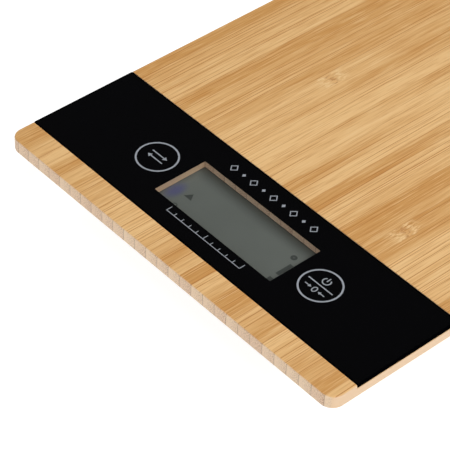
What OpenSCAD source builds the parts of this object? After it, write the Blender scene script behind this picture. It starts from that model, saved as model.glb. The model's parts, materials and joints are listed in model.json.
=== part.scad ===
// Kitchen scale: a thin bamboo platform carried on four load-cell feet, with a black touch
// panel let into its front, an LCD below a window, and a coin-cell electronics housing.
// Origin: middle of the footprint, on the table. +X is the user's right, +Y points away
// from the user and +Z points up. All sizes are in millimetres.

/* [Platform] */
// Width of the platform, left to right
board_w = 160; // [158:1:200]
// Depth of the platform, front to back
board_d = 230; // [220:1:300]
// Thickness of the bamboo board
board_t = 5.2; // [5.2:0.2:9]
// Height of the weighing surface above the table
total_h = 17; // [17:0.5:22]
// Radius of the platform's corners in plan
corner_r = 4.8; // [3:0.2:8]
// Radius of the eased long edges
edge_ease = 0.5; // [0.3:0.1:1.2]

/* [Display panel] */
// Bamboo left in front of the panel
panel_inset = 10.5; // [9:0.5:14]
// Depth of the panel, front to back
panel_d = 43.6; // [42:0.2:48]
// Thickness of the clear panel sheet
panel_t = 1; // [0.8:0.1:1.2]
// Width of the display window
window_w = 57; // [50:1:57]
// Depth of the display window
window_d = 22.1; // [20:0.1:22.1]
// Distance between the middles of the two touch keys
key_spacing = 80.4; // [79:0.2:81]

/* [Electronics housing] */
// Width of the housing under the panel
housing_w = 94; // [94:0.5:95]
// Depth of the housing
housing_d = 71; // [71:0.5:80]
// Height of the housing's underside above the table
housing_lift = 3; // [2.5:0.1:3]
// Wall thickness of the moulded plastic parts
wall = 1.4; // [1.2:0.1:1.6]

/* [Sensor feet] */
// Side of each square sensor housing
sensor_w = 24; // [24:0.1:24.4]
// Distance from the platform's edges to the middle of each foot
sensor_inset = 18.8; // [18.6:0.1:19]
// Diameter of each foot
foot_d = 12; // [10:0.5:12]
// Travel of each foot from unloaded to its overload stop
foot_travel = 0.6; // [0.3:0.1:0.8]

/* [Battery] */
// Diameter of the coin cell
cell_d = 20; // [16:0.5:20]
// Thickness of the coin cell
cell_t = 3.2; // [2.5:0.1:3.2]

/* [Hidden] */
$fn = 48;

// Clearance that keeps cuts from ending on a face
cut = 1;
// Gap between stacked sheets and between parts that only touch
film_gap = 0.05;
// Fitting gap round parts that drop into a recess
fit_gap = 0.15;

// Levels of the panel stack, from the top down
mask_t = 0.15;
adhesive_t = 0.2;
board_z = total_h - board_t;
panel_z = total_h - panel_t;
mask_z = panel_z - film_gap - mask_t;
adhesive_z = mask_z - adhesive_t;

// Plan of the panel, the window and the keys
front_y = -board_d / 2;
panel_y = front_y + panel_inset + panel_d / 2;
key_x = key_spacing / 2;
key_hole_r = 4.6;

// The liquid-crystal display: its front glass has a ledge for the contacts
lcd_z = total_h - 3.9;
lcd_w = window_w + 5;
lcd_d = window_d + 5.9;
lcd_ledge = 2.6;
polarizer_t = 0.2;
glass_t = 0.7;
reflector_t = 0.25;
front_glass_z = lcd_z - polarizer_t - glass_t;
rear_glass_z = front_glass_z - glass_t;
rear_glass_front = -lcd_d / 2 + lcd_ledge;

// The moulded frame that carries the display, and the pocket that takes it
holder_wall = 1;
holder_w = lcd_w + 0.4 + 2 * holder_wall;
holder_d = lcd_d + 0.4 + 2 * holder_wall;
pocket_z = lcd_z + 0.1;
zebra_w = 1.7;
zebra_y = rear_glass_front - 0.6 - zebra_w / 2;

// The circuit board and the posts that it is screwed to
pcb_t = 1;
pcb_z = board_z - 2.9;
pcb_top = pcb_z + pcb_t;
pcb_w = 88;
pcb_front = panel_y - 15.4;
pcb_back = panel_y + 18.1;
post_r = 2.2;
post_x = 36.5;
post_y = [pcb_front + 2.5, pcb_back - 2.5];

// The electronics housing, a tub that opens upwards against the board
housing_y = front_y + 10 + housing_d / 2;
housing_back = housing_y + housing_d / 2;
floor_z = housing_lift + wall;
housing_r = 4;
boss_r = 3.2;
boss_x = housing_w / 2 - 4;
boss_y = [housing_y - housing_d / 2 + 3.7, housing_back - 3.7];

// Screws: the pilot holes stop below the panel's recess
wood_shank_r = 1.1;
wood_head_r = 2;
wood_head_t = 1.4;
wood_tip_z = board_z + 3;
head_seat = 3;
pcb_shank_r = 0.7;
pcb_head_r = 1.7;
pcb_head_t = 1;
screw_gap = 0.1;

// Battery compartment, door and hinge
hinge_r = 1.2;
hinge_z = housing_lift + hinge_r;
hinge_y = housing_back - wall - 2.2;
hinge_pin_r = 0.6;
hinge_bore_r = 0.66;
hinge_pin_l = 1.5;
hinge_sweep = 1.7;
pocket_half = cell_d / 2 + 0.6;
cell_y = hinge_y - 1.6 - pocket_half;
battery_box_half = pocket_half + 2.2;
rebate_half = pocket_half + 1.3;
latch_w = 7;
latch_t = 0.8;
rebate_front = cell_y - pocket_half - 2.4;
battery_box_front = rebate_front - 1.2;
battery_box_back = cell_y + pocket_half + 0.6;
ceiling_z = pcb_top - 0.1;
ceiling_t = 1.2;
cell_z = ceiling_z - 0.6 - cell_t;

// Battery contacts: a tail rises from each through the ceiling, up to its lead
contact_t = 0.3;
tail_x = 6;
tail_w = 1.6;
tail_h = contact_t + ceiling_t + film_gap;
tail_y = pocket_half - 0.5;
lead_r = 0.3;
lead_z = board_z - lead_r - 0.1;

// Sensor modules: a housing, a load cell, a frame that holds it and the foot
sensor_x = board_w / 2 - sensor_inset;
sensor_y = board_d / 2 - sensor_inset;
sensor_r = 3;
sensor_z = housing_lift + 0.4;
sensor_floor = 1.2;
cavity_w = 15.6;
cavity_r = 3.2;
sensor_screw = 9.2;
retainer_w = 15.4;
retainer_bore = 11.6;

// Feet: the flange stops on the housing's floor below, and on the load cell's rim above
foot_r = foot_d / 2;
foot_gap = 0.4;
flange_r = foot_r + 1.2;
flange_t = 1.2;
flange_z = sensor_z + sensor_floor + film_gap;
foot_z = 0.8;
foot_boss_r = 1.8;
pad_r = foot_r - 0.7;
pad_t = 1.65;
pad_ease = 0.3;

// Load cells: a steel plate whose tongue rests on the foot's boss
plate_z = flange_z + flange_t + foot_travel + film_gap;
plate_w = 15;
plate_t = 1;
plate_slot = 10.4;
tongue_w = 5;
tongue_tip = 2.8;
gauge_x = -3.2;
gauge_w = 3.6;
gauge_d = 3.2;
gauge_t = 0.1;

// Three-core flat cables run in grooves in the board's underside
cable_w = 2.8;
cable_t = 1;
cable_z = board_z + 0.2;
groove_w = 3.4;
groove_t = 1.4;
cable_row = sensor_y - 4;
cable_start_x = sensor_x - 3;
cable_lane_x = 24;
cable_drop = 1.2;
front_route = [[cable_start_x, -cable_row], [pcb_w / 2 - 1.6, -cable_row]];
rear_route = [
    [cable_start_x, cable_row],
    [cable_lane_x + 14, cable_row],
    [cable_lane_x, cable_row - 14],
    [cable_lane_x, pcb_back - 1.6]
];
tape_rows = [60, 10, -20];

// Half of an eased plate's section, from its middle to its rim
function eased_half(reach, t, low, high) = concat(
    [[0, 0]],
    [for (a = [-90:30:0]) [reach - low + low * cos(a), low + low * sin(a)]],
    [for (a = [0:30:90]) [reach - high + high * cos(a), t - high + high * sin(a)]],
    [[0, t]]
);

// The whole section, by adding the mirrored half
function eased_section(reach, t, low, high) =
    let (half = eased_half(reach, t, low, high))
    concat(
        [for (i = [1:len(half) - 2]) half[i]],
        [for (i = [len(half) - 2:-1:1]) [-half[i][0], half[i][1]]]
    );

// Unit vector from one plan point to the next
function heading(p, q) = (q - p) / norm(q - p);

// Sideways step at a point of a route, mitred where the route bends
function side_step(route, i, half) =
    let (
        before = i > 0 ? heading(route[i - 1], route[i]) : heading(route[0], route[1]),
        after = i < len(route) - 1 ? heading(route[i], route[i + 1]) : before,
        middle = (before + after) / norm(before + after),
        reach = half / (middle * before)
    )
    [-middle[1], middle[0]] * reach;

// Outline of a flat strip that follows a route
function strip_outline(route, width) = concat(
    [for (i = [0:len(route) - 1]) route[i] + side_step(route, i, width / 2)],
    [for (i = [len(route) - 1:-1:0]) route[i] - side_step(route, i, width / 2)]
);

// One ring of points round a coil's wire
function coil_ring(turn, coil_r, wire_r, z, sides) = [
    for (k = [0:sides - 1])
        let (b = 360 * k / sides, r = coil_r + wire_r * cos(b))
        [r * cos(turn), r * sin(turn), z + wire_r * sin(b)]
];

module rounded_rect(w, d, r) {
    square([w - 2 * r, d], center = true);
    square([w, d - 2 * r], center = true);
    for (x = [-1, 1], y = [-1, 1])
        translate([x * (w / 2 - r), y * (d / 2 - r)])
            circle(r = r);
}

module slab(w, d, z0, z1, r) {
    translate([0, 0, z0])
        linear_extrude(z1 - z0)
            rounded_rect(w, d, r);
}

// A rounded plate whose lower and upper edges are eased by low and high
module eased_plate(w, d, t, r, low, high) {
    rotate([90, 0, 0])
        linear_extrude(d - 2 * r, center = true)
            polygon(eased_section(w / 2, t, low, high));
    rotate([90, 0, 90])
        linear_extrude(w - 2 * r, center = true)
            polygon(eased_section(d / 2, t, low, high));
    for (x = [-1, 1], y = [-1, 1])
        translate([x * (w / 2 - r), y * (d / 2 - r), 0])
            rotate_extrude($fn = 96)
                polygon(eased_half(r, t, low, high));
}

// A closed helical coil of round wire
module coil(coil_r, wire_r, height, turns) {
    sides = 8;
    steps = turns * 14;
    rings = [
        for (i = [0:steps])
            each coil_ring(360 * turns * i / steps, coil_r, wire_r, height * i / steps, sides)
    ];
    walls = [
        for (i = [0:steps - 1], k = [0:sides - 1])
            let (a = i * sides + k, b = i * sides + (k + 1) % sides)
            each [[a, b, a + sides], [b, b + sides, a + sides]]
    ];
    first = [for (k = [sides - 1:-1:0]) k];
    last = [for (k = [0:sides - 1]) steps * sides + k];
    polyhedron(rings, concat([first], walls, [last]));
}

// A screw that points up, with its head's underside at z = 0 and a cross recess below
module screw(head_r, head_t, shank_r, length) {
    slot = head_r * 0.28;
    difference() {
        translate([0, 0, -head_t])
            rotate_extrude()
                polygon([
                    [0, 0], [head_r * 0.75, 0], [head_r, head_t * 0.45], [head_r, head_t],
                    [shank_r, head_t], [shank_r, head_t + length - shank_r],
                    [0, head_t + length]
                ]);
        for (turn = [0, 90])
            rotate([0, 0, turn])
                translate([-head_r * 0.6, -slot / 2, -head_t - cut])
                    cube([head_r * 1.2, slot, cut + head_t * 0.6]);
    }
}

// Puts its child, drawn for the rear right corner, in the corner of the given signs
module at_corner(sx, sy) {
    translate([sx * sensor_x, sy * sensor_y, 0])
        mirror([sx < 0 ? 1 : 0, 0, 0])
            mirror([0, sy < 0 ? 1 : 0, 0])
                children();
}

module at_all_corners() {
    for (sx = [-1, 1], sy = [-1, 1])
        at_corner(sx, sy)
            children();
}

module at_sensor_screws() {
    for (side = [-1, 1])
        translate([side * sensor_screw, -side * sensor_screw, 0])
            children();
}

module at_housing_bosses() {
    for (x = [-boss_x, boss_x], y = boss_y)
        translate([x, y, 0])
            children();
}

module at_posts() {
    for (x = [-post_x, post_x], y = post_y)
        translate([x, y, 0])
            children();
}

module at_keys() {
    for (x = [-key_x, key_x])
        translate([x, panel_y, 0])
            children();
}

// Platform

module cable_grooves() {
    for (side = [-1, 1], route = [front_route, rear_route])
        mirror([side < 0 ? 1 : 0, 0, 0])
            translate([0, 0, board_z - cut])
                linear_extrude(groove_t + cut)
                    polygon(strip_outline(route, groove_w));
}

module pilot_holes() {
    translate([0, 0, board_z - cut]) {
        at_housing_bosses()
            cylinder(r = wood_shank_r + screw_gap, h = wood_tip_z - board_z + cut + screw_gap);
        at_all_corners()
            at_sensor_screws()
                cylinder(r = wood_shank_r + screw_gap, h = wood_tip_z - board_z + cut + screw_gap);
    }
}

module platform_board() {
    color("#d7af78")
        difference() {
            translate([0, 0, board_z])
                eased_plate(board_w, board_d, board_t, corner_r, edge_ease, edge_ease);
            // recess for the panel, open at both sides of the board
            translate([-board_w / 2 - cut, panel_y - panel_d / 2, adhesive_z])
                cube([board_w + 2 * cut, panel_d, board_t]);
            // window, and the wider pocket below it for the display and its holder
            translate([0, panel_y, 0]) {
                slab(window_w + 0.3, window_d + 0.3, board_z, total_h, 0.4);
                slab(holder_w + 0.4, holder_d + 0.4, board_z - cut, pocket_z, 0.6);
            }
            at_keys()
                translate([0, 0, board_z - cut])
                    cylinder(r = key_hole_r, h = board_t + cut);
            cable_grooves();
            pilot_holes();
        }
}

module display_panel() {
    color("#101014")
        translate([0, panel_y, panel_z])
            eased_plate(board_w, panel_d - 2 * fit_gap, panel_t, 0.5, 0.1, 0.15);
}

module panel_mask() {
    color("#060608")
        translate([0, panel_y, 0])
            difference() {
                slab(board_w - 2 * film_gap, panel_d - 2 * (fit_gap + film_gap), mask_z,
                    mask_z + mask_t, 0.5);
                slab(window_w, window_d, mask_z - cut, mask_z + cut, 0.4);
            }
}

module panel_adhesive() {
    color("#2a2a2c")
        difference() {
            translate([0, panel_y, 0])
                slab(board_w - 1.6, panel_d - 1.6, adhesive_z, adhesive_z + adhesive_t, 0.5);
            translate([0, panel_y, 0])
                slab(window_w + 1, window_d + 1, adhesive_z - cut, adhesive_z + cut, 0.4);
            at_keys()
                translate([0, 0, adhesive_z - cut])
                    cylinder(r = key_hole_r, h = 2 * cut);
        }
}

// Display

// A sheet of the display that reaches from the given front edge to the back of the glass
module lcd_sheet(w, front, back, z0, t) {
    translate([-w / 2, panel_y + front, z0])
        cube([w, back - front, t]);
}

module lcd_front_polarizer() {
    color("#646962")
        lcd_sheet(lcd_w - 1, -lcd_d / 2 + 1, lcd_d / 2 - 0.5, lcd_z - polarizer_t, polarizer_t);
}

module lcd_front_glass() {
    color("#b9c4bd")
        lcd_sheet(lcd_w, -lcd_d / 2, lcd_d / 2, front_glass_z, glass_t);
}

module lcd_rear_glass() {
    color("#b9c4bd")
        lcd_sheet(lcd_w, rear_glass_front, lcd_d / 2, rear_glass_z, glass_t);
}

module lcd_reflector() {
    color("#a9ada6")
        lcd_sheet(lcd_w - 1.6, rear_glass_front + 0.3, lcd_d / 2 - 1, rear_glass_z - reflector_t,
            reflector_t);
}

module lcd_holder() {
    color("#e8e8e4")
        difference() {
            translate([0, panel_y, 0])
                slab(holder_w, holder_d, pcb_top, lcd_z - 0.3, 0.5);
            lcd_sheet(lcd_w + 0.4, -lcd_d / 2 - 0.2, lcd_d / 2 + 0.2, rear_glass_z, 2 * cut);
            lcd_sheet(lcd_w - 1.2, rear_glass_front + 0.2, lcd_d / 2 - 0.8, pcb_top - cut, 3 * cut);
            translate([0, panel_y + zebra_y, pcb_top])
                cube([lcd_w - 3, zebra_w + 0.4, 3 * cut + 2], center = true);
        }
}

module zebra_connector() {
    color("#3a3f48")
        translate([0, panel_y + zebra_y, (pcb_top + front_glass_z) / 2])
            cube([lcd_w - 4, zebra_w, front_glass_z - pcb_top], center = true);
}

// Electronics

module circuit_board() {
    color("#1f6b3a")
        difference() {
            translate([-pcb_w / 2, pcb_front, pcb_z])
                cube([pcb_w, pcb_back - pcb_front, pcb_t]);
            at_posts()
                translate([0, 0, pcb_z - cut])
                    cylinder(r = pcb_shank_r + 0.3, h = pcb_t + 2 * cut);
        }
}

// The controller is a bare chip below a drop of black resin
module controller_chip() {
    resin_r = 6;
    resin_t = 1.3;
    color("#141414")
        translate([-14, panel_y - 2, pcb_z])
            rotate_extrude()
                polygon(concat(
                    [[0, 0], [resin_r, 0]],
                    [for (a = [15:15:75]) [resin_r * cos(a), -resin_t * sin(a)]],
                    [[0, -resin_t]]
                ));
}

// A row of small chip parts below the circuit board
module chip_row(x, y, count, length, width, t) {
    for (i = [0:count - 1])
        translate([x + i * 3.6 - length / 2, y - width / 2, pcb_z - t])
            cube([length, width, t]);
}

module chip_capacitors() {
    color("#b08a5c") {
        chip_row(0, panel_y + 8, 6, 2, 1.25, 0.9);
        chip_row(0, panel_y - 9, 4, 2, 1.25, 0.9);
    }
}

module chip_resistors() {
    color("#1c1c1e") {
        chip_row(0, panel_y + 4, 7, 1.6, 0.8, 0.5);
        chip_row(-33, panel_y + 10, 4, 1.6, 0.8, 0.5);
    }
}

module touch_springs() {
    wire_r = 0.25;
    color("#c9ccd0")
        at_keys()
            translate([0, 0, pcb_top + wire_r + film_gap])
                coil(3.2, wire_r, mask_z - pcb_top - 2 * wire_r - 2 * film_gap, 4);
}

module circuit_board_screws() {
    color("#b9bcc0")
        at_posts()
            translate([0, 0, pcb_top])
                mirror([0, 0, 1])
                    screw(pcb_head_r, pcb_head_t, pcb_shank_r, 4.2);
}

// Electronics housing

module battery_box() {
    translate([-battery_box_half, battery_box_front, housing_lift + wall / 2])
        cube([2 * battery_box_half, battery_box_back - battery_box_front,
            ceiling_z + ceiling_t - housing_lift - wall / 2]);
    // cheeks that carry the hinge pins
    translate([-rebate_half - hinge_pin_l - 0.8, hinge_y - 1.6, housing_lift + wall / 2])
        cube([2 * (rebate_half + hinge_pin_l + 0.8), housing_back - hinge_y + 0.6,
            2 * hinge_r + 0.4]);
}

module battery_cuts() {
    // pocket for the cell
    translate([-pocket_half, cell_y - pocket_half, housing_lift - cut])
        cube([2 * pocket_half, 2 * pocket_half, ceiling_z - housing_lift + cut]);
    // rebate that the door lies in
    translate([-rebate_half, rebate_front, housing_lift - cut])
        cube([2 * rebate_half, hinge_y + hinge_sweep - rebate_front, wall + cut]);
    // room for the hinge barrel, and the bores for its pins
    translate([0, hinge_y, hinge_z])
        rotate([0, 90, 0]) {
            cylinder(r = hinge_r + 0.3, h = 2 * rebate_half, center = true);
            cylinder(r = hinge_bore_r, h = 2 * (rebate_half + hinge_pin_l + 0.2), center = true);
        }
    // slot for the latch tongue
    translate([-latch_w / 2 - 0.5, rebate_front, housing_lift])
        cube([latch_w + 1, 1.9, 5.6]);
    // slots for the tails of the two contacts
    for (side = [-1, 1])
        translate([side * tail_x, cell_y + side * tail_y, ceiling_z])
            cube([tail_w + 0.6, contact_t + 0.5, 2 * (ceiling_t + cut)], center = true);
}

module electronics_housing() {
    color("#2b2b2d")
        difference() {
            union() {
                difference() {
                    translate([0, housing_y, housing_lift])
                        eased_plate(housing_w, housing_d, board_z - housing_lift, housing_r, 0.9, 0.1);
                    translate([0, housing_y, 0])
                        slab(housing_w - 2 * wall, housing_d - 2 * wall, floor_z, board_z + cut,
                            housing_r - wall);
                }
                at_housing_bosses()
                    translate([0, 0, housing_lift + wall / 2])
                        cylinder(r = boss_r, h = board_z - housing_lift - wall / 2);
                at_posts()
                    translate([0, 0, housing_lift + wall / 2])
                        cylinder(r = post_r, h = pcb_z - housing_lift - wall / 2);
                battery_box();
            }
            at_housing_bosses() {
                translate([0, 0, housing_lift - cut])
                    cylinder(r = wood_head_r + 0.2, h = head_seat + cut);
                cylinder(r = wood_shank_r + screw_gap, h = board_z + cut);
            }
            at_posts()
                translate([0, 0, pcb_z - 4])
                    cylinder(r = pcb_shank_r + 0.05, h = 4 + cut);
            battery_cuts();
        }
}

module housing_screws() {
    color("#c2c4c8")
        at_housing_bosses()
            translate([0, 0, housing_lift + head_seat])
                screw(wood_head_r, wood_head_t, wood_shank_r, wood_tip_z - housing_lift - head_seat);
}

// Battery

module coin_cell() {
    rim = 0.4;
    color("#d2d4d6")
        translate([0, cell_y, cell_z])
            rotate_extrude($fn = 96)
                polygon([
                    [0, 0], [cell_d / 2 - rim, 0], [cell_d / 2, rim], [cell_d / 2, cell_t - 0.7],
                    [cell_d / 2 - 1.2, cell_t - 0.5], [cell_d / 2 - 1.5, cell_t], [0, cell_t]
                ]);
}

// A strip contact: its profile in the YZ plane is drawn across the strip's width
module strip_contact(x, width, profile) {
    translate([x - width / 2, 0, 0])
        rotate([90, 0, 90])
            linear_extrude(width)
                polygon(profile);
}

// Bears on the rim of the can
module battery_contact_positive() {
    leaf_w = 6;
    leaf_y = cell_y + cell_d / 2 + film_gap;
    color("#cfb56a") {
        // leaf beside the cell
        translate([-leaf_w / 2, leaf_y, cell_z + 0.4])
            cube([leaf_w, contact_t, ceiling_z - cell_z - 0.4]);
        // arm along the ceiling to the soldered tail
        translate([-leaf_w / 2, leaf_y, ceiling_z - contact_t])
            cube([leaf_w / 2 + tail_x + tail_w / 2, contact_t, contact_t]);
        translate([tail_x - tail_w / 2, leaf_y, ceiling_z - contact_t])
            cube([tail_w, contact_t, tail_h]);
    }
}

// Bears on the middle of the cell's smaller face
module battery_contact_negative() {
    root_y = cell_y - tail_y - contact_t / 2;
    color("#cfb56a") {
        strip_contact(-tail_x, tail_w, [
            [root_y, ceiling_z - contact_t], [cell_y - 3, ceiling_z - contact_t],
            [cell_y, cell_z + cell_t + 0.02], [cell_y + 1.4, cell_z + cell_t + 0.25],
            [cell_y + 1.3, cell_z + cell_t + 0.55], [cell_y, cell_z + cell_t + 0.32],
            [cell_y - 2.9, ceiling_z - 0.01], [root_y, ceiling_z - 0.01]
        ]);
        translate([-tail_x - tail_w / 2, root_y, ceiling_z - contact_t])
            cube([tail_w, contact_t, tail_h]);
    }
}

// One round lead laid through a short list of points
module lead(points) {
    for (i = [0:len(points) - 2])
        hull()
            for (p = [points[i], points[i + 1]])
                translate(p)
                    sphere(r = lead_r, $fn = 12);
}

module battery_leads() {
    pad_y = pcb_back - 1.8;
    bend_y = pad_y + 0.6;
    lane_x = 16;
    color("#b5201c") {
        lead([
            [tail_x, cell_y + tail_y, lead_z], [lane_x, cell_y + 4, lead_z],
            [lane_x, bend_y, lead_z], [lane_x, pad_y, pcb_top + lead_r]
        ]);
        lead([
            [-tail_x, cell_y - tail_y, lead_z], [-tail_x, bend_y, lead_z],
            [-tail_x, pad_y, pcb_top + lead_r]
        ]);
    }
}

module battery_door() {
    plate_gap = 0.2;
    door_front = rebate_front + plate_gap;
    barrel_l = 5;
    tongue_y = rebate_front + 0.9;
    color("#2b2b2d") {
        difference() {
            union() {
                translate([-rebate_half + plate_gap, door_front, housing_lift])
                    cube([2 * (rebate_half - plate_gap), hinge_y - door_front, wall - 0.1]);
                for (side = [-1, 1])
                    translate([side * (rebate_half - plate_gap - barrel_l / 2), hinge_y, hinge_z])
                        rotate([0, 90, 0]) {
                            cylinder(r = hinge_r, h = barrel_l, center = true);
                            translate([0, 0, side * barrel_l / 2])
                                cylinder(r = hinge_pin_r, h = 2 * (hinge_pin_l - 0.1), center = true);
                        }
                // latch tongue with its nib
                translate([-latch_w / 2, tongue_y, housing_lift + wall / 2])
                    cube([latch_w, latch_t, 4.2]);
                translate([-latch_w / 2, tongue_y - 0.45, housing_lift + 3])
                    cube([latch_w, 0.8, 0.9]);
            }
            // finger scoop
            translate([0, rebate_front + 4.4, housing_lift - 5.2])
                sphere(r = 6);
        }
    }
}

module cable_tape() {
    color("#d9c27a")
        for (x = [-cable_lane_x, cable_lane_x], y = tape_rows)
            translate([x - 6, y - 5, board_z - 0.1 - film_gap])
                cube([12, 10, 0.1]);
}

// Sensor modules, drawn about the middle of the foot for the rear right corner

module sensor_screws() {
    color("#c2c4c8")
        at_all_corners()
            at_sensor_screws()
                translate([0, 0, sensor_z + head_seat])
                    screw(wood_head_r, wood_head_t, wood_shank_r, wood_tip_z - sensor_z - head_seat);
}

module sensor_housing() {
    color("#e9e9e6")
        difference() {
            translate([0, 0, sensor_z])
                eased_plate(sensor_w, sensor_w, board_z - sensor_z, sensor_r, 0.8, 0.1);
            // the load cell lies on a shelf below the wider cavity
            slab(cavity_w, cavity_w, plate_z, board_z + cut, cavity_r);
            translate([0, 0, sensor_z + sensor_floor])
                cylinder(r = flange_r + foot_gap, h = board_z - sensor_z);
            cylinder(r = foot_r + foot_gap, h = board_z);
            at_sensor_screws() {
                translate([0, 0, sensor_z - cut])
                    cylinder(r = wood_head_r + 0.2, h = head_seat + cut);
                cylinder(r = wood_shank_r + screw_gap, h = board_z + cut);
            }
        }
}

// A steel plate with a tongue that the foot bends
module load_cell() {
    color("#a8acb0")
        difference() {
            slab(plate_w, plate_w, plate_z, plate_z + plate_t, cavity_r - 0.3);
            difference() {
                slab(plate_slot, plate_slot, plate_z - cut, plate_z + plate_t + cut, 1);
                translate([-plate_w / 2, -tongue_w / 2, plate_z - 2 * cut])
                    cube([plate_w / 2 + tongue_tip, tongue_w, plate_t + 4 * cut]);
            }
        }
}

module load_cell_retainers() {
    color("#e9e9e6")
        at_all_corners()
            difference() {
                slab(retainer_w, retainer_w, plate_z + plate_t, board_z, cavity_r - 0.1);
                slab(retainer_bore, retainer_bore, plate_z, board_z + cut, 1.6);
            }
}

module strain_gauges() {
    color("#c77c34")
        at_all_corners()
            translate([gauge_x - gauge_w / 2, -gauge_d / 2, plate_z + plate_t])
                cube([gauge_w, gauge_d, gauge_t]);
}

module gauge_sealant() {
    color("#f2f2ee")
        at_all_corners()
            translate([gauge_x, 0, plate_z + plate_t + gauge_t])
                slab(gauge_w + 0.8, gauge_d + 0.8, 0, 0.6, 0.8);
}

// A flat cable in its groove, with its ends bent down to the load cell and the circuit board
module sensor_cable(route, side, far_along_x) {
    last = len(route) - 1;
    color("#dfe0e2")
        mirror([side < 0 ? 1 : 0, 0, 0]) {
            translate([0, 0, cable_z])
                linear_extrude(cable_t)
                    polygon(strip_outline(route, cable_w));
            translate([route[0][0] - cable_drop, route[0][1] - cable_w / 2, plate_z + plate_t + 0.3])
                cube([cable_drop, cable_w, cable_z - plate_z - plate_t]);
            translate([
                route[last][0] - (far_along_x ? 0 : cable_w / 2),
                route[last][1] - (far_along_x ? cable_w / 2 : 0),
                pcb_top + film_gap
            ])
                cube([far_along_x ? cable_drop : cable_w, far_along_x ? cable_w : cable_drop,
                    cable_z - pcb_top]);
        }
}

module foot() {
    color("#d9d9d6")
        difference() {
            translate([0, 0, foot_z])
                rotate_extrude($fn = 96)
                    polygon([
                        [0, 0], [foot_r - 0.4, 0], [foot_r, 0.4], [foot_r, flange_z - foot_z],
                        [flange_r, flange_z - foot_z], [flange_r, flange_z - foot_z + flange_t],
                        [foot_boss_r, flange_z - foot_z + flange_t],
                        [foot_boss_r, plate_z - foot_z - 0.02], [0, plate_z - foot_z - 0.02]
                    ]);
            translate([0, 0, foot_z - cut])
                cylinder(r = pad_r + 0.1, h = pad_t - foot_z + cut + 0.02, $fn = 96);
        }
}

module foot_pad() {
    color("#8d9094")
        rotate_extrude($fn = 96)
            polygon([
                [0, 0], [pad_r - pad_ease, 0], [pad_r, pad_ease], [pad_r, pad_t], [0, pad_t]
            ]);
}

platform_board();
display_panel();
panel_mask();
panel_adhesive();
lcd_front_polarizer();
lcd_front_glass();
lcd_rear_glass();
lcd_reflector();
lcd_holder();
zebra_connector();
circuit_board();
controller_chip();
chip_capacitors();
chip_resistors();
touch_springs();
circuit_board_screws();
electronics_housing();
housing_screws();
coin_cell();
battery_contact_positive();
battery_contact_negative();
battery_leads();
battery_door();
cable_tape();
sensor_screws();
load_cell_retainers();
strain_gauges();
gauge_sealant();
at_corner(-1, -1) sensor_housing();  // sensor_housing_front_left
at_corner(1, -1) sensor_housing();  // sensor_housing_front_right
at_corner(-1, 1) sensor_housing();  // sensor_housing_rear_left
at_corner(1, 1) sensor_housing();  // sensor_housing_rear_right
at_corner(-1, -1) load_cell();  // load_cell_front_left
at_corner(1, -1) load_cell();  // load_cell_front_right
at_corner(-1, 1) load_cell();  // load_cell_rear_left
at_corner(1, 1) load_cell();  // load_cell_rear_right
sensor_cable(front_route, -1, true);  // sensor_cable_front_left
sensor_cable(front_route, 1, true);  // sensor_cable_front_right
sensor_cable(rear_route, -1, false);  // sensor_cable_rear_left
sensor_cable(rear_route, 1, false);  // sensor_cable_rear_right
at_corner(-1, -1) foot();  // foot_front_left
at_corner(1, -1) foot();  // foot_front_right
at_corner(-1, 1) foot();  // foot_rear_left
at_corner(1, 1) foot();  // foot_rear_right
at_corner(-1, -1) foot_pad();  // foot_pad_front_left
at_corner(1, -1) foot_pad();  // foot_pad_front_right
at_corner(-1, 1) foot_pad();  // foot_pad_rear_left
at_corner(1, 1) foot_pad();  // foot_pad_rear_right
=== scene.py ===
"""Looks for the kitchen scale: materials, the printed panel, the display and the studio."""
import json
import math

import bmesh
import bpy
from mathutils import Matrix, Vector


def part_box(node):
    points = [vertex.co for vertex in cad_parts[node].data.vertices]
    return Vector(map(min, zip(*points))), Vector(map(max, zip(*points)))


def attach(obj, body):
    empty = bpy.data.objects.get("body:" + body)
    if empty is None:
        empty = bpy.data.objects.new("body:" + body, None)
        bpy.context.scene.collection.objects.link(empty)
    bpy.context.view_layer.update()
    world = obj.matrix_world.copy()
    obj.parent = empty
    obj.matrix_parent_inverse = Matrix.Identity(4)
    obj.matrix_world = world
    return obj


MM = 0.001

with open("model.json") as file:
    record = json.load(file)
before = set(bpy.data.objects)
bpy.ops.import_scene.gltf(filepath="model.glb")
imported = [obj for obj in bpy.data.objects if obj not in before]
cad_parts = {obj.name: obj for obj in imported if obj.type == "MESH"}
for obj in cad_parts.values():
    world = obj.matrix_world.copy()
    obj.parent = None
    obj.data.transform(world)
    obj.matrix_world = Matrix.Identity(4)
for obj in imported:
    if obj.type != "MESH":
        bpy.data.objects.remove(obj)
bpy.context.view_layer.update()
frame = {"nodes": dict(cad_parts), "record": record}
NODES = frame["nodes"]


def middle(node):
    """Middle of a CAD node's box."""
    low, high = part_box(node)
    return (low + high) / 2


PANEL_LOW, PANEL_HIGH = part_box("display_panel")
PANEL_MIDDLE = middle("display_panel")
MASK_LOW, MASK_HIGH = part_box("panel_mask")
LCD_LOW, LCD_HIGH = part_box("lcd_front_polarizer")
SPRINGS_LOW, SPRINGS_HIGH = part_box("touch_springs")
SPRING_D = SPRINGS_HIGH.y - SPRINGS_LOW.y
KEY_X = SPRINGS_HIGH.x - SPRING_D / 2
DOOR_MIDDLE = middle("battery_door")
DOOR_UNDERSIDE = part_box("battery_door")[0].z


# Materials

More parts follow.
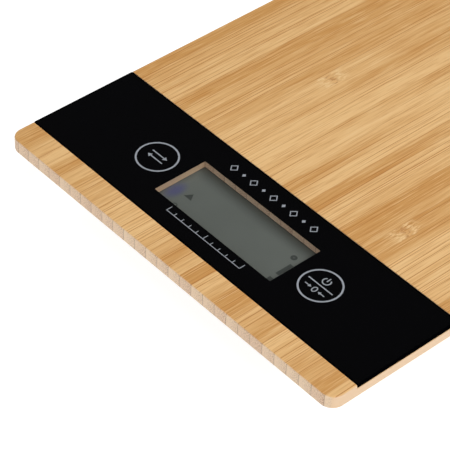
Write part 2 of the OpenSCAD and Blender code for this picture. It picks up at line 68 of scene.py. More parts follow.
class Shader:
    """One material's node tree, with short calls for the nodes that the looks use.

    Places are the object's own coordinates in metres, so a noise scale is in cells per metre.
    """

    def __init__(self, name):
        self.material = bpy.data.materials.new(name)
        self.material.use_nodes = True
        self.tree = self.material.node_tree
        self.surface = self.tree.nodes["Principled BSDF"]
        self.output = self.tree.nodes["Material Output"]
        self.where = self.node("ShaderNodeTexCoord")

    def node(self, kind, inputs=None, **settings):
        """A new node with its settings, and its inputs set or linked."""
        made = self.tree.nodes.new(kind)
        for key, value in settings.items():
            setattr(made, key, value)
        for key, value in (inputs or {}).items():
            self.feed(made.inputs[key], value)
        return made

    def feed(self, socket, value):
        """Links a socket to another one, or sets it to a plain value."""
        if isinstance(value, bpy.types.NodeSocket):
            self.tree.links.new(value, socket)
        else:
            socket.default_value = value

    def set(self, **values):
        """Sets the Principled shader's inputs; an underscore in a name stands for a space."""
        for key, value in values.items():
            self.feed(self.surface.inputs[key.replace("_", " ")], value)

    def show(self, shader):
        """Makes a shader node the material's surface in place of the Principled one."""
        self.tree.links.new(shader.outputs[0], self.output.inputs["Surface"])

    def math(self, operation, a, b=0.0):
        return self.node("ShaderNodeMath", {0: a, 1: b}, operation=operation).outputs[0]

    def add(self, a, b):
        return self.math("ADD", a, b)

    def times(self, a, b):
        return self.math("MULTIPLY", a, b)

    def apart(self, a, b):
        """How far a is from b."""
        return self.math("ABSOLUTE", self.math("SUBTRACT", a, b))

    def random(self, value):
        """A number from 0 to 1 that depends only on value."""
        made = self.node("ShaderNodeTexWhiteNoise", {"W": value}, noise_dimensions="1D")
        return made.outputs["Value"]

    def axes(self, coordinates="Object"):
        """The x, y and z of the object's own place, or of its normal."""
        return self.node("ShaderNodeSeparateXYZ", {0: self.where.outputs[coordinates]}).outputs

    def point(self, x, y, z):
        return self.node("ShaderNodeCombineXYZ", {0: x, 1: y, 2: z}).outputs[0]

    def noise(self, vector, scale, detail, roughness=0.55, distortion=0.0):
        made = self.node(
            "ShaderNodeTexNoise",
            {"Vector": vector, "Scale": scale, "Detail": detail, "Roughness": roughness,
             "Distortion": distortion},
        )
        return made.outputs["Fac"]

    def grain(self, scale, detail, roughness=0.55, distortion=0.0):
        """Noise that is alike in every direction."""
        return self.noise(self.where.outputs["Object"], scale, detail, roughness, distortion)

    def streaks(self, x, y, z, detail, roughness=0.55):
        """Noise with its own scale along each axis, drawn out along the one with the lowest."""
        scaled = self.node(
            "ShaderNodeMapping", {"Vector": self.where.outputs["Object"], "Scale": (x, y, z)}
        )
        return self.noise(scaled.outputs[0], 1.0, detail, roughness)

    def remap(self, value, low, high, to_low=0.0, to_high=1.0):
        """Value's smooth step from low to high, as a number from to_low to to_high."""
        made = self.node(
            "ShaderNodeMapRange",
            {"Value": value, "From Min": low, "From Max": high, "To Min": to_low,
             "To Max": to_high},
            interpolation_type="SMOOTHSTEP",
        )
        return made.outputs[0]

    def mix(self, factor, a, b):
        """Colour a, turning into colour b as factor goes from 0 to 1."""
        made = self.node("ShaderNodeMix", data_type="RGBA")
        self.feed(made.inputs["Factor"], factor)
        self.feed(made.inputs["A"], a)
        self.feed(made.inputs["B"], b)
        return made.outputs["Result"]

    def drift(self, value, colour, darkest, lightest):
        """A colour that wanders with a noise value between two tints of itself."""
        return self.mix(self.remap(value, 0.3, 0.7), tint(colour, darkest), tint(colour, lightest))

    def bump(self, height, distance, strength):
        """Raises the surface by height, as seen by the light only."""
        made = self.node(
            "ShaderNodeBump", {"Height": height, "Distance": distance, "Strength": strength}
        )
        self.feed(self.surface.inputs["Normal"], made.outputs[0])


def rgb(red, green, blue):
    return (red, green, blue, 1.0)


def tint(colour, amount):
    """A colour made lighter or darker by a factor."""
    return rgb(*(min(part * amount, 1.0) for part in colour[:3]))


# Counts of strips, lanes and knuckles start high enough to stay positive over the whole board
STRIP_W = 5.6 * MM
STRIP_COUNT_START = 100.3
LINE_LANE_W = 1.4 * MM
LANE_COUNT_START = 500.0
KNUCKLE_GAP = 310 * MM
KNUCKLE_COUNT_START = 10.0
TOP_PALE = rgb(0.87, 0.552, 0.245)
TOP_DEEP = rgb(0.655, 0.335, 0.102)
TOP_LIGHT = rgb(0.91, 0.635, 0.325)
FIBRE_BROWN = rgb(0.47, 0.170, 0.024)
END_PALE = rgb(0.86, 0.650, 0.445)
END_BROWN = rgb(0.42, 0.250, 0.165)
SIDE_PALE = rgb(0.86, 0.615, 0.405)


class BambooStrips:
    """Where a point of the board lies among its strips, which run along Y."""

    def __init__(self, s):
        self.x, self.y, _ = s.axes()
        sway = s.times(s.streaks(0, 9, 0, 1.0), 0.5 * MM)
        self.swayed_x = s.add(self.x, sway)
        across = s.add(s.math("DIVIDE", self.swayed_x, STRIP_W), STRIP_COUNT_START)
        self.number = s.math("FLOOR", across)
        self.inside = s.math("FRACT", across)
        self.from_middle = s.apart(self.inside, 0.5)
        self.tone = s.random(self.number)
        self.flecks = self.fibres(s, 2600, 70)
        fading = s.remap(s.streaks(40, 12, 40, 2.0), 0.35, 0.65, 0.25, 1.0)
        self.glue_line = s.times(s.remap(self.from_middle, 0.478, 0.496), fading)

    def fibres(self, s, x_scale, y_scale):
        """Streaks along Y that are different in each strip."""
        offset = s.times(self.tone, 7.0)
        place = s.point(s.times(self.x, x_scale), s.times(self.y, y_scale), offset)
        return s.noise(place, 1.0, 3.0)


def bamboo_tone(s, strips):
    """The face before its fibres: bands some strips wide, each strip's tone, and streaks."""
    bands = s.streaks(48, 3, 0, 2.0)
    depth = s.add(s.times(bands, 1.35), s.times(strips.tone, 0.38))
    depth = s.add(depth, s.times(strips.fibres(s, 900, 9), 0.30))
    return s.mix(s.remap(depth, 0.82, 1.25), TOP_PALE, TOP_DEEP)


def thin_lines(s, strips):
    """Where a thin brown line lies: one in each lane, at its own place, broken along Y."""
    lanes = s.add(s.math("DIVIDE", strips.swayed_x, LINE_LANE_W), LANE_COUNT_START)
    lane = s.math("FLOOR", lanes)
    place = s.add(s.times(s.random(lane), 0.6), 0.2)
    from_line = s.apart(s.math("FRACT", lanes), place)
    run = s.noise(s.point(s.times(lane, 7.3), s.times(strips.y, 10), 0.5), 1.0, 2.0)
    return s.times(s.remap(from_line, 0.05, 0.12, 1.0, 0.0), s.remap(run, 0.44, 0.60, 0.0, 0.90))


def with_knuckles(s, strips, face):
    """Adds the knuckles: pale flecks on some strips, with a faint brown bar across them."""
    stray = s.times(s.streaks(260, 0, 0, 1.0), 5 * MM)
    along = s.add(s.math("DIVIDE", s.add(strips.y, stray), KNUCKLE_GAP), KNUCKLE_COUNT_START)
    phase = s.math("FRACT", s.add(along, s.times(strips.tone, 3.7)))
    away = s.times(s.apart(phase, 0.5), KNUCKLE_GAP)
    chosen = s.math("GREATER_THAN", s.random(s.add(strips.number, 0.5)), 0.55)
    flecks = s.times(s.remap(s.streaks(1700, 420, 900, 3.0), 0.46, 0.58), chosen)
    patch = s.remap(away, 8 * MM, 3 * MM, 0.0, 0.80)
    bar = s.remap(away, 2.4 * MM, 0.6 * MM, 0.0, 0.75)
    face = s.mix(s.times(patch, flecks), face, TOP_LIGHT)
    return s.mix(s.times(bar, flecks), face, FIBRE_BROWN)


def bamboo_face(s, strips):
    """The top and underside: tones, fine flecks, thin lines, glue lines and knuckles."""
    face = bamboo_tone(s, strips)
    face = s.mix(s.remap(strips.flecks, 0.32, 0.48, 0.50, 0.0), face, TOP_LIGHT)
    face = s.mix(s.remap(strips.flecks, 0.50, 0.68, 0.0, 0.42), face, FIBRE_BROWN)
    face = s.mix(thin_lines(s, strips), face, FIBRE_BROWN)
    face = s.mix(s.times(strips.glue_line, 0.50), face, FIBRE_BROWN)
    return with_knuckles(s, strips, face)


def bamboo_end(s, strips):
    """End grain: fibre ends as brown dots, denser towards one side of each strip."""
    dots = s.remap(s.streaks(2600, 2600, 2600, 1.0), 0.47, 0.60)
    crowd = s.add(s.remap(strips.inside, 0.0, 1.0, 0.15, 0.70), s.times(strips.tone, 0.35))
    end = s.mix(s.times(dots, crowd), END_PALE, END_BROWN)
    end = s.mix(s.times(strips.tone, 0.25), end, tint(END_BROWN, 1.5))
    return s.mix(s.remap(strips.from_middle, 0.470, 0.492, 0.0, 0.75), end, tint(END_BROWN, 0.75))


def bamboo():
    """The board: faces of strips along Y, end grain in front and behind, plain long sides."""
    s = Shader("bamboo")
    strips = BambooStrips(s)
    side_fibre = s.remap(s.streaks(900, 12, 1500, 3.0), 0.40, 0.80, 0.0, 0.45)
    normal_x, normal_y, _ = s.axes("Normal")
    facing_end = s.remap(s.math("ABSOLUTE", normal_y), 0.45, 0.80)
    facing_side = s.remap(s.math("ABSOLUTE", normal_x), 0.55, 0.85)
    colour = s.mix(facing_end, bamboo_face(s, strips), bamboo_end(s, strips))
    colour = s.mix(facing_side, colour, s.mix(side_fibre, SIDE_PALE, TOP_PALE))
    s.set(
        Base_Color=colour,
        Roughness=s.remap(strips.flecks, 0.3, 0.8, 0.46, 0.60),
        Specular_IOR_Level=0.38,
    )
    height = s.math("SUBTRACT", s.times(strips.flecks, 0.5), s.times(strips.glue_line, 0.8))
    s.bump(height, 0.05 * MM, 0.5)
    return s.material


MOULD_GRAIN = 0.35 * MM


def moulded(name, colour, roughness):
    """Moulded plastic: a fine spark-eroded grain, slow colour drift and a lighter colour on sharp
    convex edges.
    """
    s = Shader(name)
    fine = s.grain(1 / MOULD_GRAIN, 2.0)
    slow = s.grain(45.0, 3.0)
    # lighter colour where the surface is sharply convex
    edge = s.remap(s.node("ShaderNodeNewGeometry").outputs["Pointiness"], 0.515, 0.56)
    shade = s.mix(s.times(edge, 0.25), s.drift(slow, colour, 0.90, 1.10), tint(colour, 1.5))
    uneven = s.add(fine, s.times(slow, 0.5))
    s.set(
        Base_Color=shade,
        Roughness=s.remap(uneven, 0.4, 1.1, roughness - 0.07, roughness + 0.07),
    )
    s.bump(fine, 0.02 * MM, 0.6)
    return s.material


def metal(name, colour, roughness):
    """Bare or plated metal with fine brushing and a slow change of tone."""
    s = Shader(name)
    brush = s.streaks(300, 9000, 300, 3.0)
    slow = s.grain(120.0, 3.0)
    uneven = s.add(brush, s.times(slow, 0.6))
    s.set(
        Base_Color=s.drift(slow, colour, 0.88, 1.08),
        Metallic=1.0,
        Roughness=s.remap(uneven, 0.4, 1.2, roughness - 0.08, roughness + 0.10),
    )
    s.bump(brush, 0.006 * MM, 0.4)
    return s.material


def rubber(name, colour):
    """Matt rubber with a slightly dusty, pitted skin."""
    s = Shader(name)
    pits = s.grain(2600.0, 2.0)
    dust = s.grain(160.0, 4.0)
    s.set(
        Base_Color=s.mix(s.remap(dust, 0.5, 0.8, 0.0, 0.5), colour, tint(colour, 1.5)),
        Roughness=s.remap(dust, 0.3, 0.7, 0.72, 0.88),
    )
    s.bump(pits, 0.03 * MM, 0.6)
    return s.material


def clear_shader(s, roughness, mirror, stain):
    """Mirrors a share of the light that grows towards grazing angles, and passes the rest."""
    smudge = s.streaks(55, 33, 55, 4.0, 0.6)
    blur = s.remap(smudge, 0.35, 0.75, roughness, roughness + 0.05)
    film = s.mix(s.remap(smudge, 0.3, 0.8, 0.0, 0.35), stain, tint(stain, 0.985))
    mirrored = s.node("ShaderNodeBsdfGlossy", {"Color": rgb(1, 1, 1), "Roughness": blur})
    passed = s.node("ShaderNodeBsdfTransparent", {"Color": film})
    front = s.math("SUBTRACT", 1.0, s.node("ShaderNodeNewGeometry").outputs["Backfacing"])
    share = s.times(s.node("ShaderNodeFresnel", {"IOR": mirror}).outputs[0], front)
    return s.node("ShaderNodeMixShader", {0: share, 1: passed.outputs[0], 2: mirrored.outputs[0]})


def clear_sheet(name, roughness, mirror, stain):
    """A clear sheet; mirror is its index of refraction and stain the tint of what it passes."""
    s = Shader(name)
    s.show(clear_shader(s, roughness, mirror, stain))
    return s.material


INKED_BORDER = 0.5 * MM
PANEL_BLACK = rgb(0.0007, 0.0007, 0.0012)


def clear_panel():
    """The clear display panel, with a narrow black border printed inside its four sides."""
    s = Shader("panel_clear")
    clear = clear_shader(s, 0.02, 1.49, rgb(0.97, 0.97, 0.98))
    x, y, _ = s.axes()
    border = 0.0
    for place, low, high in ((x, PANEL_LOW.x, PANEL_HIGH.x), (y, PANEL_LOW.y, PANEL_HIGH.y)):
        from_middle = s.apart(place, (low + high) / 2)
        near_side = s.math("GREATER_THAN", from_middle, (high - low) / 2 - INKED_BORDER)
        border = s.math("MAXIMUM", border, near_side)
    s.set(Base_Color=PANEL_BLACK, Roughness=0.5, Specular_IOR_Level=0.0)
    s.show(s.node("ShaderNodeMixShader", {0: border, 1: clear.outputs[0], 2: s.surface.outputs[0]}))
    return s.material


def printed(name, colour, roughness, shine=0.2):
    """Screen-printed ink, a little uneven in cover."""
    s = Shader(name)
    cover = s.grain(900.0, 3.0)
    s.set(
        Base_Color=s.mix(s.remap(cover, 0.35, 0.7, 0.0, 0.30), colour, tint(colour, 0.86)),
        Roughness=s.remap(cover, 0.3, 0.7, roughness - 0.05, roughness + 0.08),
        Specular_IOR_Level=shine,
    )
    s.bump(s.grain(5200.0, 2.0), 0.004 * MM, 0.4)
    return s.material


LCD_GREY = rgb(0.139, 0.154, 0.133)
LCD_BLUE = rgb(0.085, 0.090, 0.190)
BLUE_SPOT_X = LCD_LOW.x + 4.5 * MM
BLUE_SPOT_Y = LCD_LOW.y + 9 * MM


def lcd_film():
    """Grey-green polarizer over the display, blue in a spot by its front left corner, with painted
    shade along the window's far and left walls.
    """
    s = Shader("lcd_film")
    x, y, _ = s.axes()
    across = s.times(s.math("SUBTRACT", x, BLUE_SPOT_X), 1.7)
    along = s.math("SUBTRACT", y, BLUE_SPOT_Y)
    away = s.math("SQRT", s.add(s.times(across, across), s.times(along, along)))
    blue = s.remap(away, 6.5 * MM, 1 * MM, 0.0, 0.85)
    patches = s.remap(s.grain(70.0, 2.0), 0.3, 0.7, 0.0, 0.5)
    body = s.mix(patches, LCD_GREY, tint(LCD_GREY, 1.12))
    # painted shadow: the colour is darkened along the window's far and left walls, where the walls
    # keep light from the reflector below
    painted_far_shade = s.remap(y, LCD_HIGH.y - 9 * MM, LCD_HIGH.y - 2.5 * MM, 0.0, 0.80)
    painted_left_shade = s.remap(x, LCD_LOW.x + 4.5 * MM, LCD_LOW.x + 2 * MM, 0.0, 0.40)
    body = s.mix(s.math("MAXIMUM", painted_far_shade, painted_left_shade), body, tint(LCD_GREY, 0.42))
    fine = s.grain(6000.0, 1.0)
    s.set(
        Base_Color=s.mix(blue, body, LCD_BLUE),
        Roughness=s.remap(fine, 0.3, 0.7, 0.30, 0.40),
        Specular_IOR_Level=0.35,
    )
    s.bump(fine, 0.002 * MM, 0.3)
    return s.material


SOLDER_MASK_GREEN = rgb(0.012, 0.13, 0.045)
TRACE_GREEN = rgb(0.05, 0.27, 0.09)
TRACES_PER_M = 700


def circuit():
    """Green solder mask with fine copper traces showing through it."""
    s = Shader("circuit_board")
    x, _, _ = s.axes()
    lanes = s.apart(s.math("FRACT", s.times(x, TRACES_PER_M)), 0.5)
    route = s.remap(s.streaks(90, 60, 1, 2.0), 0.48, 0.52)
    trace = s.times(s.remap(lanes, 0.22, 0.30), route)
    s.set(
        Base_Color=s.mix(s.times(trace, 0.6), SOLDER_MASK_GREEN, TRACE_GREEN),
        Roughness=s.remap(s.grain(500.0, 2.0), 0.3, 0.7, 0.22, 0.34),
    )
    s.bump(trace, 0.02 * MM, 0.5)
    return s.material


def dipped(name, colour, roughness):
    """Resin, ceramic, silicone or foil: smooth, with small waves and colour drift."""
    s = Shader(name)
    waves = s.grain(420.0, 3.0)
    s.set(
        Base_Color=s.drift(waves, colour, 0.85, 1.12),
        Roughness=s.remap(waves, 0.3, 0.7, roughness - 0.06, roughness + 0.08),
    )
    s.bump(waves, 0.03 * MM, 0.4)
    return s.material


CABLE_CORE_PITCH = 0.93 * MM


def flat_cable():
    """Pale flat cable: three cores side by side raise the skin."""
    s = Shader("grey_wire")
    x, y, _ = s.axes()
    turns = s.times(s.add(x, y), 1 / CABLE_CORE_PITCH)
    ribs = s.math("ABSOLUTE", s.math("SINE", s.times(turns, math.pi)))
    soft = s.grain(300.0, 3.0)
    s.set(
        Base_Color=s.mix(s.remap(soft, 0.3, 0.7), rgb(0.62, 0.63, 0.65), rgb(0.74, 0.75, 0.77)),
        Roughness=s.remap(soft, 0.3, 0.7, 0.42, 0.56),
    )
    s.bump(ribs, 0.1 * MM, 0.5)
    return s.material


def film_tape():
    """Amber film tape with a soft crease pattern, paler where it is thin."""
    s = Shader("tape")
    crease = s.grain(380.0, 4.0, 0.6, 0.6)
    s.set(
        Base_Color=s.mix(s.remap(crease, 0.3, 0.7), rgb(0.62, 0.36, 0.07), rgb(0.78, 0.50, 0.14)),
        Roughness=s.remap(crease, 0.3, 0.7, 0.18, 0.34),
    )
    s.bump(crease, 0.08 * MM, 0.5)
    return s.material


WHITE_PLASTIC = rgb(0.74, 0.735, 0.70)
BLACK_PLASTIC = rgb(0.022, 0.022, 0.024)
LOOKS = {
    "bamboo": bamboo(),
    "panel_clear": clear_panel(),
    "panel_print": printed("panel_print", PANEL_BLACK, 0.6, 0.0),
    "adhesive": printed("adhesive", rgb(0.02, 0.02, 0.02), 0.7),
    "lcd_film": lcd_film(),
    "lcd_glass": clear_sheet("lcd_glass", 0.01, 1.52, rgb(0.93, 0.96, 0.94)),
    "reflector": metal("reflector", rgb(0.60, 0.62, 0.58), 0.45),
    "white_abs": moulded("white_abs", WHITE_PLASTIC, 0.48),
    "black_abs": moulded("black_abs", BLACK_PLASTIC, 0.52),
    "zebra": rubber("zebra", rgb(0.05, 0.06, 0.08)),
    "circuit_board": circuit(),
    "black_resin": dipped("black_resin", rgb(0.010, 0.010, 0.011), 0.22),
    "capacitor": dipped("capacitor", rgb(0.42, 0.26, 0.12), 0.4),
    "resistor": dipped("resistor", rgb(0.02, 0.02, 0.022), 0.35),
    "steel": metal("steel", rgb(0.62, 0.62, 0.64), 0.28),
    "spring_steel": metal("spring_steel", rgb(0.42, 0.43, 0.45), 0.34),
    "cell_steel": metal("cell_steel", rgb(0.68, 0.69, 0.70), 0.22),
    "contact": metal("contact", rgb(0.72, 0.53, 0.25), 0.30),
    "red_wire": dipped("red_wire", rgb(0.45, 0.02, 0.02), 0.42),
    "grey_wire": flat_cable(),
    "tape": film_tape(),
    "gauge_film": dipped("gauge_film", rgb(0.50, 0.20, 0.05), 0.35),
    "silicone": dipped("silicone", rgb(0.80, 0.80, 0.77), 0.45),
    "foot_plastic": moulded("foot_plastic", tint(WHITE_PLASTIC, 0.93), 0.45),
    "pad_rubber": rubber("pad_rubber", rgb(0.16, 0.165, 0.17)),
}


def dress_cad_nodes():
    """Gives every CAD node the look of its material slot in the record."""
    for part in frame["record"]["subparts"]:
        node = NODES[part["node"]]
        look = LOOKS[part["material_slot"]]
        if not node.material_slots:
            node.data.materials.append(look)
        for held in node.material_slots:
            held.material = look


# Printing on the panel

PRINT_T = 0.015 * MM
PRINT_Z = MASK_HIGH.z + 0.01 * MM
RING_R = 7.3 * MM
RING_LINE_W = 0.62 * MM
FINE_W = 0.42 * MM
RULER_W = 0.28 * MM
RING_POINTS = 60
ZERO_POINTS = 28
ARC_STEP = math.tau / RING_POINTS
# How far a line reaches past its ends, in half widths of the line
LINE_END = 0.6


class Print:
    """Flat shapes of one ink, gathered in one mesh of thin closed prisms."""

    def __init__(self, name, z, look, slot, body="scale", thickness=PRINT_T):
        self.name = name
        self.heights = (z, z + thickness)
        self.look = look
        self.slot = slot
        self.body = body
        self.mesh = bmesh.new()

    def outlines(self, points):
        """The vertices of an outline at the print's lower and upper height."""
        return [[self.mesh.verts.new((x, y, z)) for x, y in points] for z in self.heights]

    def polygon(self, points):
        """A prism with the given outline."""
        low, high = self.outlines(points)
        self.mesh.faces.new(low[::-1])
        self.mesh.faces.new(high)
        for i in range(len(points)):
            self.mesh.faces.new((low[i - 1], low[i], high[i], high[i - 1]))

    def band(self, outer, inner):
        """A closed band between two outlines with as many points each."""
        low, high = self.outlines(outer)
        low_in, high_in = self.outlines(inner)
        for i in range(len(outer)):
            self.mesh.faces.new((low[i - 1], low[i], high[i], high[i - 1]))
            self.mesh.faces.new((low_in[i], low_in[i - 1], high_in[i - 1], high_in[i]))
            self.mesh.faces.new((high[i - 1], high[i], high_in[i], high_in[i - 1]))
            self.mesh.faces.new((low[i], low[i - 1], low_in[i - 1], low_in[i]))

    def line(self, start, end, width):
        """A straight stroke that reaches a little past both of its ends."""
        start, end = Vector(start), Vector(end)
        step = (end - start).normalized() * width / 2
        side = Vector((-step.y, step.x))
        start, end = start - step * LINE_END, end + step * LINE_END
        self.polygon([start - side, end - side, end + side, start + side])

    def arc(self, centre, radius, first, last, width):
        """Part of a ring, from one angle to another."""
        span = last - first
        steps = round(span / ARC_STEP)
        angles = [first + span * i / steps for i in range(steps + 1)]
        outer = [on_circle(centre, radius + width / 2, angle) for angle in angles]
        inner = [on_circle(centre, radius - width / 2, angle) for angle in angles]
        self.polygon(outer + inner[::-1])

    def ring(self, centre, radius, width):
        """A whole ring."""
        outer, inner = radius + width / 2, radius - width / 2
        self.band(
            ellipse(centre, outer, outer, RING_POINTS),
            ellipse(centre, inner, inner, RING_POINTS),
        )

    def arrow(self, tail, tip, width, head):
        """A straight arrow with a solid head."""
        tail, tip = Vector(tail), Vector(tip)
        along = (tip - tail).normalized()
        side = Vector((-along.y, along.x))
        neck = tip - along * head
        self.line(tail, neck, width)
        self.polygon([tip, neck + side * head * 0.62, neck - side * head * 0.62])

    def finish(self):
        """Makes the piece that holds the shapes, and puts it on its body."""
        bmesh.ops.recalc_face_normals(self.mesh, faces=self.mesh.faces)
        data = bpy.data.meshes.new(self.name)
        self.mesh.to_mesh(data)
        self.mesh.free()
        piece = bpy.data.objects.new(self.name, data)
        bpy.context.scene.collection.objects.link(piece)
        piece.data.materials.append(self.look)
        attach(piece, self.body)


def on_circle(centre, radius, angle):
    return Vector(centre) + radius * Vector((math.cos(angle), math.sin(angle)))


def ellipse(centre, half_w, half_h, count):
    """Points round an ellipse."""
    angles = [math.tau * i / count for i in range(count)]
    return [Vector(centre) + Vector((half_w * math.cos(a), half_h * math.sin(a))) for a in angles]


INK = printed("pale_ink", rgb(0.42, 0.45, 0.48), 0.5)


def print_unit_key():
    """Left key: two opposed arrows, for changing the unit."""
    ink = Print("unit_key_print", PRINT_Z, INK, "panel_print")
    key = Vector((-KEY_X, PANEL_MIDDLE.y))
    ink.ring(key, RING_R, RING_LINE_W)
    reach, rise, head = Vector((3.6 * MM, 0)), Vector((0, 1.15 * MM)), 1.5 * MM
    ink.arrow(key + rise - reach, key + rise + reach, FINE_W, head)
    ink.arrow(key - rise + reach, key - rise - reach, FINE_W, head)
    ink.finish()


def print_power_mark(ink, centre):
    """A ring that is open at its top, with a short line through the opening."""
    opening = math.radians(38)
    top = math.pi / 2
    ink.arc(centre, 1.45 * MM, top + opening, top + math.tau - opening, FINE_W)
    stem_start = centre + Vector((0, 0.1 * MM))
    ink.line(stem_start, centre + Vector((0, 1.75 * MM)), FINE_W)


def print_zero_mark(ink, centre):
    """A zero between two arrows that point at it."""
    ink.band(
        ellipse(centre, 0.95 * MM, 1.35 * MM, ZERO_POINTS),
        ellipse(centre, 0.55 * MM, 0.95 * MM, ZERO_POINTS),
    )
    for side in (-1, 1):
        tail = centre + Vector((side * 4.3 * MM, 0))
        tip = centre + Vector((side * 1.55 * MM, 0))
        ink.arrow(tail, tip, FINE_W * 0.9, 1.1 * MM)


def print_power_key():
    """Right key: a power mark over a line, and a zero mark below it."""
    ink = Print("power_key_print", PRINT_Z, INK, "panel_print")
    key = Vector((KEY_X, PANEL_MIDDLE.y))
    ink.ring(key, RING_R, RING_LINE_W)
    reach = Vector((5.4 * MM, 0))
    ink.line(key - reach, key + reach, FINE_W)
    print_power_mark(ink, key + Vector((0, 2.75 * MM)))
    print_zero_mark(ink, key - Vector((0, 2.6 * MM)))
    ink.finish()


def print_ruler():
    """In front of the window: a plain line with ticks, a long one at both ends and the middle."""
    ink = Print("ruler_print", PRINT_Z, INK, "panel_print")
    count, pitch, foot = 11, 3.6 * MM, MASK_LOW.y + 6.9 * MM
    reach = (count - 1) / 2 * pitch
    ink.line((-reach, foot), (reach, foot), RULER_W)
    for i in range(count):
        x = i * pitch - reach
        rise = (2.3 if i % 5 == 0 else 1.3) * MM
        ink.line((x, foot + RULER_W / 2), (x, foot + rise), RULER_W)
    ink.finish()


def diamond(centre, half_w, half_h):
    corners = ((half_w, 0), (0, half_h), (-half_w, 0), (0, -half_h))
    return [centre + Vector(corner) for corner in corners]


def print_ornament():
    """Behind the window: a plain chain of open diamonds with small solid ones between them."""
    ink = Print("ornament_print", PRINT_Z, INK, "panel_print")
    count, pitch, y = 9, 4.9 * MM, MASK_HIGH.y - 5.3 * MM
    half_w, half_h, stroke = 1.65 * MM, 1.9 * MM, 0.46 * MM
    small = 0.45
    core = 1 - stroke / half_w
    for i in range(count):
        centre = Vector(((i - (count - 1) / 2) * pitch, y))
        if i % 2 == 0:
            ink.band(
                diamond(centre, half_w, half_h),
                diamond(centre, half_w * core, half_h * core),
            )
        else:
            ink.polygon(diamond(centre, half_w * small, half_h * small))
    ink.finish()


# Marks on the display

def show_display_marks():
    """The display is off: only its printed marks show, as a slightly darker grey."""
    look = printed("lcd_marks", rgb(0.060, 0.068, 0.060), 0.4)
    marks = Print("lcd_marks", LCD_HIGH.z + 0.01 * MM, look, "lcd_film")
    front = PANEL_MIDDLE.y - 11 * MM
    # two bars and a dot at the right end
    bars_x = LCD_HIGH.x - 5 * MM
    for low, high in ((1.2, 3.2), (6.4, 12)):
        marks.line((bars_x, front + low * MM), (bars_x, front + high * MM), 1.6 * MM)
    marks.ring((bars_x - 2.2 * MM, front + 15.3 * MM), 0.7 * MM, 1.0 * MM)
    # a pointer and a small ring at the left end
    pointer = Vector((LCD_LOW.x + 10 * MM, front + 8.6 * MM))
    marks.polygon([pointer + Vector(p) * MM for p in ((-1.8, -1.2), (1.8, -1.2), (0, 1.6))])
    marks.ring((LCD_LOW.x + 9.8 * MM, front + 2 * MM), 0.8 * MM, 0.4 * MM)
    marks.finish()


# Moulded mark on the underside

ARROW_PROUD = 0.12 * MM
ARROW_ROOT = 0.02 * MM


def mark_battery_door():
    """A raised arrow on the door shows which end opens."""
    mark = Print("door_arrow", DOOR_UNDERSIDE - ARROW_PROUD, LOOKS["black_abs"], "black_abs",
                 "battery_door", ARROW_PROUD + ARROW_ROOT)
    x, y, _ = DOOR_MIDDLE
    mark.arrow((x, y + 4.5 * MM), (x, y - 3.5 * MM), 1.1 * MM, 3.2 * MM)
    mark.finish()


# Studio

AIM = Vector((0.5, -88.2, 17.0)) * MM
AZIMUTH, ELEVATION, ROLL = 47.3, 42.5, 2.28
DISTANCE = 738.2 * MM
LENS, SENSOR = 181.8, 36.0
FLOOR_REACH = 6.0
FLOOR_RISE = 0.4
FLOOR_GLOW = 0.90
WORLD_STRENGTH = 0.04
# name, azimuth, elevation, distance, side, power
SOFTBOXES = (
    ("key", 105, 50, 1.5, 0.9, 11),
    ("back", 185, 50, 1.8, 0.6, 5),
    ("top", 0, 84, 1.9, 1.2, 11.5),
    ("fill", 10, 30, 1.8, 1.2, 8.5),
)


def outward(azimuth, elevation):
    """Unit vector from the scale towards an azimuth and elevation in degrees."""
    a, e = math.radians(azimuth), math.radians(elevation)
    return Vector((math.sin(a) * math.cos(e), -math.cos(a) * math.cos(e), math.sin(e)))


def add_camera():
    """A long lens from the front right, as the photograph was taken."""
    data = bpy.data.cameras.new("camera")
    data.lens, data.sensor_width = LENS, SENSOR
    data.clip_start, data.clip_end = 0.01, 50.0
    camera = bpy.data.objects.new("camera", data)
    bpy.context.scene.collection.objects.link(camera)
    back = outward(AZIMUTH, ELEVATION)
    camera.location = AIM + back * DISTANCE
    facing = (-back).to_track_quat("-Z", "Y").to_matrix()
    camera.rotation_euler = (facing @ Matrix.Rotation(math.radians(ROLL), 3, "Z")).to_euler()
    bpy.context.scene.camera = camera


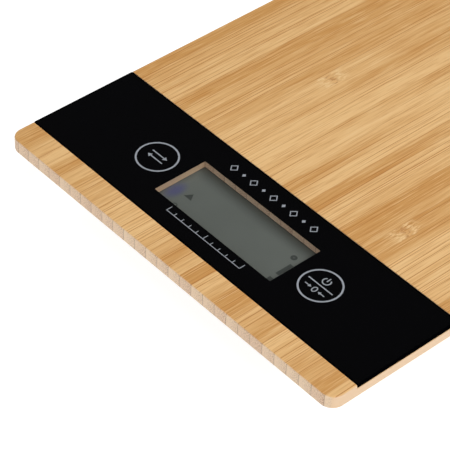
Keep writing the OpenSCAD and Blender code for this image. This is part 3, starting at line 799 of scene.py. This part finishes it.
def floor_look():
    """A pale glowing grey, clear from below so that the underside can be looked at."""
    s = Shader("floor")
    mottle = s.remap(s.grain(6.0, 3.0), 0.3, 0.7)
    s.set(
        Base_Color=s.mix(mottle, rgb(0.28, 0.28, 0.28), rgb(0.31, 0.31, 0.31)),
        Roughness=0.9,
        Emission_Color=rgb(1, 1, 1),
        Emission_Strength=FLOOR_GLOW,
    )
    below = s.node("ShaderNodeNewGeometry").outputs["Backfacing"]
    gone = s.node("ShaderNodeBsdfTransparent")
    s.show(s.node("ShaderNodeMixShader", {0: below, 1: s.surface.outputs[0], 2: gone.outputs[0]}))
    return s.material


def add_floor():
    """A pale floor that rises very gently towards its rim, so that it has no hard horizon."""
    mesh = bmesh.new()
    bmesh.ops.create_grid(mesh, x_segments=24, y_segments=24, size=FLOOR_REACH)
    for vertex in mesh.verts:
        far = max(vertex.co.xy.length / FLOOR_REACH - 0.5, 0.0)
        vertex.co.z = FLOOR_RISE * far * far
    data = bpy.data.meshes.new("floor")
    mesh.to_mesh(data)
    mesh.free()
    for face in data.polygons:
        face.use_smooth = True
    data.materials.append(floor_look())
    floor = bpy.data.objects.new("floor", data)
    bpy.context.scene.collection.objects.link(floor)


def add_softbox(name, azimuth, elevation, distance, side, power):
    """A square soft light that faces the scale."""
    data = bpy.data.lights.new(name, "AREA")
    data.shape, data.size = "SQUARE", side
    data.energy = power
    lamp = bpy.data.objects.new(name, data)
    bpy.context.scene.collection.objects.link(lamp)
    back = outward(azimuth, elevation)
    lamp.location = back * distance
    lamp.rotation_euler = (-back).to_track_quat("-Z", "Y").to_euler()


def add_studio():
    world = bpy.data.worlds.new("studio")
    world.use_nodes = True
    background = world.node_tree.nodes["Background"]
    background.inputs["Color"].default_value = rgb(1, 1, 1)
    background.inputs["Strength"].default_value = WORLD_STRENGTH
    bpy.context.scene.world = world
    bpy.context.scene.view_settings.view_transform = "Standard"
    for softbox in SOFTBOXES:
        add_softbox(*softbox)
    add_floor()
    add_camera()


dress_cad_nodes()
print_unit_key()
print_power_key()
print_ruler()
print_ornament()
show_display_marks()
mark_battery_door()
add_studio()
